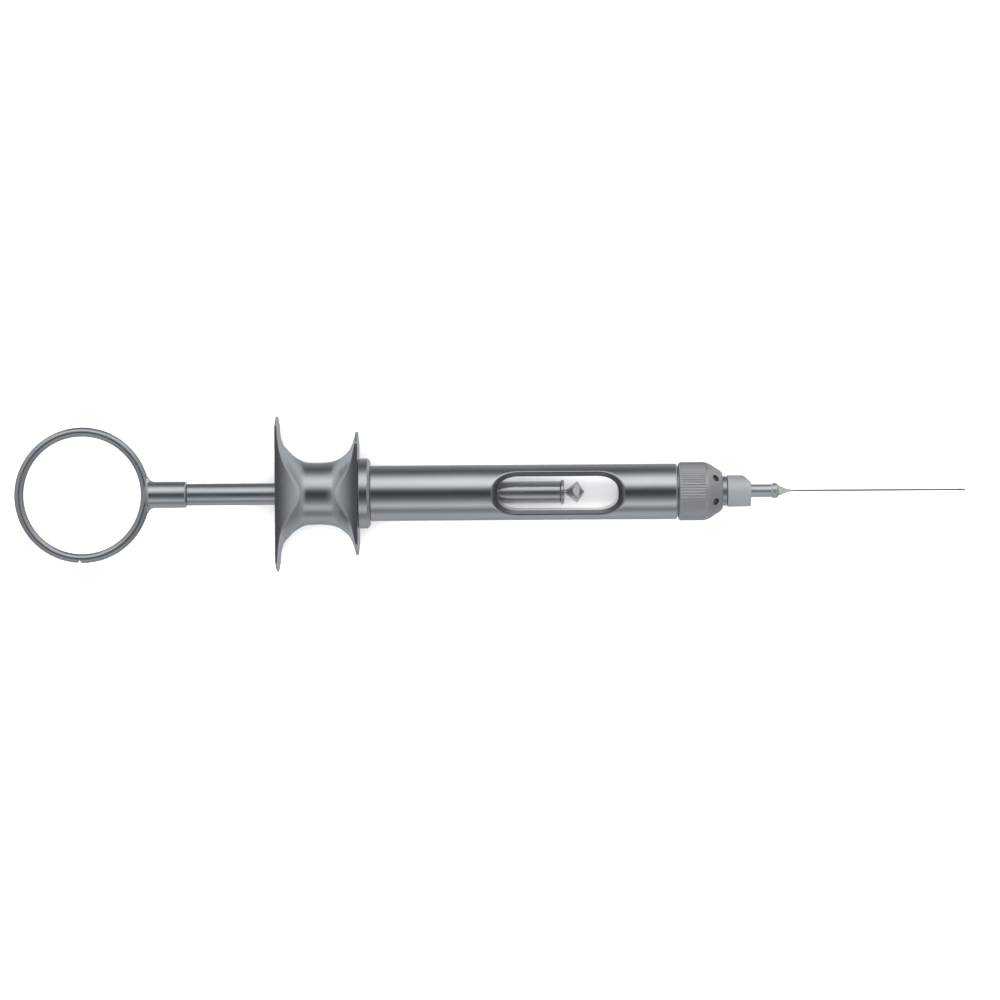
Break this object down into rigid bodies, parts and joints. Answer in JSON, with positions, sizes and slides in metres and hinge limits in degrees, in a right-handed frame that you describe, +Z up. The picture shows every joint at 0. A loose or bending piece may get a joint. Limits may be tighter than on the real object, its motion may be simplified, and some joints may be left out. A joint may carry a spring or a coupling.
{
  "type": "aspirating dental syringe",
  "caption": "Steel cartridge syringe with thumb ring, harpoon plunger, spool finger grip, windowed barrel, knurled needle cap and double-ended needle.",
  "frame": {"origin": "under the middle of the syringe's length, on the surface that the grip's lower flat lies on, below the syringe's axis", "axes": "+X along the syringe towards the needle's point, +Z up and square to the thumb ring's plane, +Y to the left of the needle direction"},
  "size_m": [0.1904, 0.0312, 0.0142],
  "materials": {
    "polished_steel": "polished stainless steel with fine turning marks",
    "satin_steel": "satin stainless steel, knurled",
    "dark_steel": "milled steel",
    "hub_alloy": "matte, bead blasted",
    "needle_steel": "drawn stainless tube",
    "brass": "turned",
    "black_rubber": "smooth O-ring",
    "white_silicone": "smooth",
    "clear_resin": "clear set resin"
  },
  "bodies": {
    "handle": {"finger_grip": "polished_steel", "rod_guide_bush": "brass", "bush_retainer": "satin_steel", "barrel_collar": "polished_steel", "barrel": "polished_steel"},
    "brake_ring": {"rod_o_ring": "black_rubber"},
    "plunger": {"thumb_ring": "polished_steel", "ring_shank": "polished_steel", "plunger_rod": "polished_steel", "pressure_disc": "polished_steel", "harpoon": "dark_steel"},
    "nipple": {"needle_nipple": "satin_steel", "seat_washer": "white_silicone"},
    "cap": {"needle_cap": "satin_steel"},
    "needle": {"needle_nozzle": "needle_steel", "cannula": "needle_steel", "cannula_glue": "clear_resin"},
    "hub_nut": {"needle_hub_nut": "hub_alloy"}
  },
  "joints": [
    {"name": "plunger_turn", "type": "hinge", "parent": "handle", "child": "brake_ring", "pos_m": [-0.0362, 0, 0.0071], "axis": [1, 0, 0], "continuous": true},
    {"name": "plunger_slide", "type": "slide", "parent": "brake_ring", "child": "plunger", "axis": [1, 0, 0], "range_m": [-0.0466, 0.0178]},
    {"name": "cap_travel", "type": "slide", "parent": "handle", "child": "nipple", "axis": [1, 0, 0], "range_m": [0, 0.005]},
    {"name": "cap_turn", "type": "hinge", "parent": "nipple", "child": "cap", "pos_m": [0.0423, 0, 0.0071], "axis": [1, 0, 0], "range_deg": [0, 1800]},
    {"name": "needle_travel", "type": "slide", "parent": "nipple", "child": "needle", "axis": [1, 0, 0], "range_m": [0, 0.0027]},
    {"name": "hub_turn", "type": "hinge", "parent": "needle", "child": "hub_nut", "pos_m": [0.0493, 0, 0.0071], "axis": [1, 0, 0], "range_deg": [0, 1296]}
  ],
  "couplings": [
    {"joint": "cap_turn", "follows": "cap_travel", "rad_per_m": 6283.2},
    {"joint": "hub_turn", "follows": "needle_travel", "rad_per_m": 8377.6}
  ]
}
